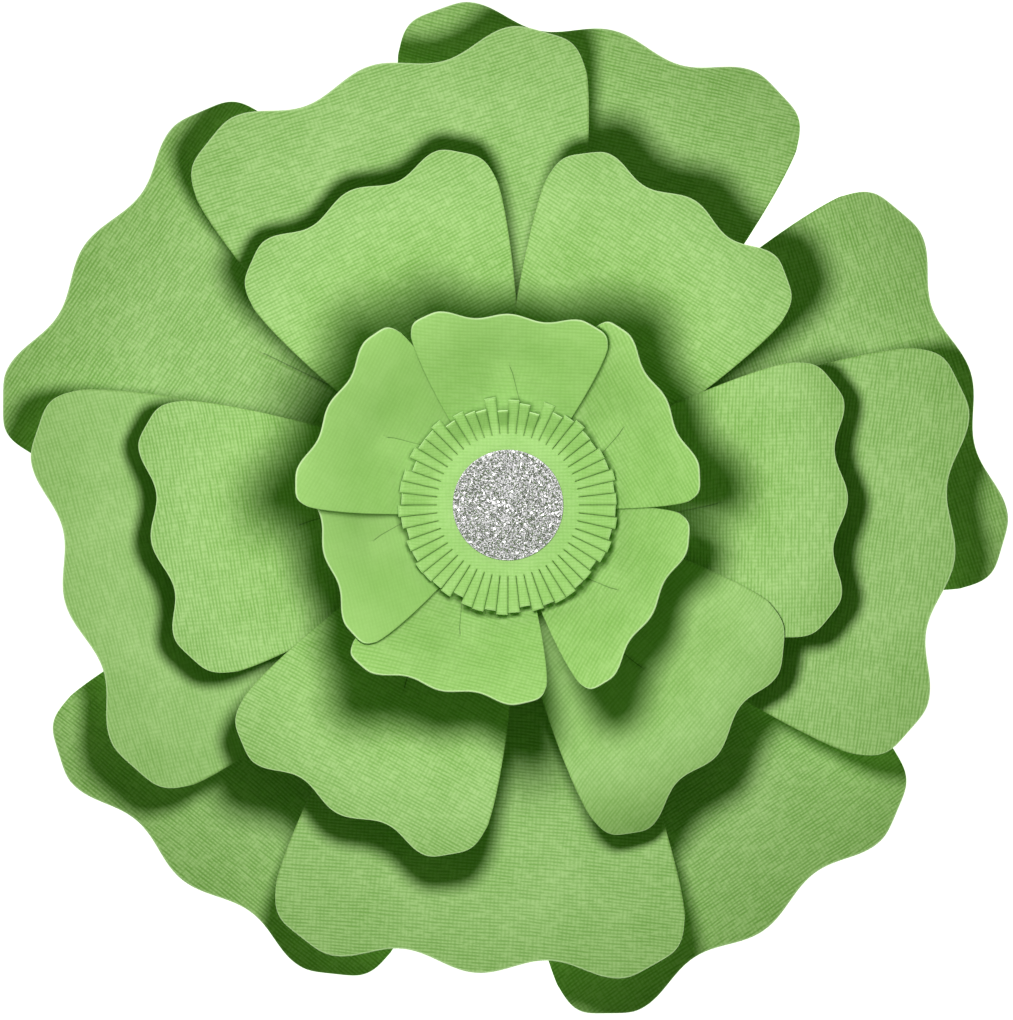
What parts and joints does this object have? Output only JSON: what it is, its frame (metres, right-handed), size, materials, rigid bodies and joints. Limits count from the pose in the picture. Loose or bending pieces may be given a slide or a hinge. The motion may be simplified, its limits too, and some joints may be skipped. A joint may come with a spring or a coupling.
{
  "type": "giant paper flower",
  "caption": "Layered wall flower of cupped, scalloped card petals on a round backing, with a fringed disc and a glitter disc at its heart.",
  "frame": {"origin": "centre of the backing disc's rear face, on the flower's axis", "axes": "+Z out of the front of the flower, toward the viewer when it hangs; +Y up and +X to the viewer's right when it hangs; it is stored lying on its back"},
  "size_m": [0.3014, 0.3035, 0.0669],
  "materials": {
    "green_cardstock": "linen-embossed matt card, spring green",
    "backing_card": "plain uncoated board",
    "silver_glitter_card": "coarse silver glitter on card"
  },
  "bodies": {
    "root": {"backing_disc": "backing_card", "back_petal_top": "green_cardstock", "back_petal_right": "green_cardstock", "back_petal_lower_right": "green_cardstock", "back_petal_lower_left": "green_cardstock", "back_petal_upper_left": "green_cardstock", "second_petal_top": "green_cardstock", "second_petal_right": "green_cardstock", "second_petal_bottom": "green_cardstock", "second_petal_left": "green_cardstock", "middle_petal_left": "green_cardstock", "middle_petal_upper_left": "green_cardstock", "middle_petal_upper_right": "green_cardstock", "middle_petal_right": "green_cardstock", "middle_petal_lower_right": "green_cardstock", "middle_petal_lower_left": "green_cardstock", "inner_petal_lower_right": "green_cardstock", "inner_petal_bottom": "green_cardstock", "inner_petal_left": "green_cardstock", "inner_petal_upper_left": "green_cardstock", "inner_petal_right": "green_cardstock", "inner_petal_top": "green_cardstock", "fringed_disc": "green_cardstock", "glitter_disc": "silver_glitter_card"}
  },
  "joints": []
}
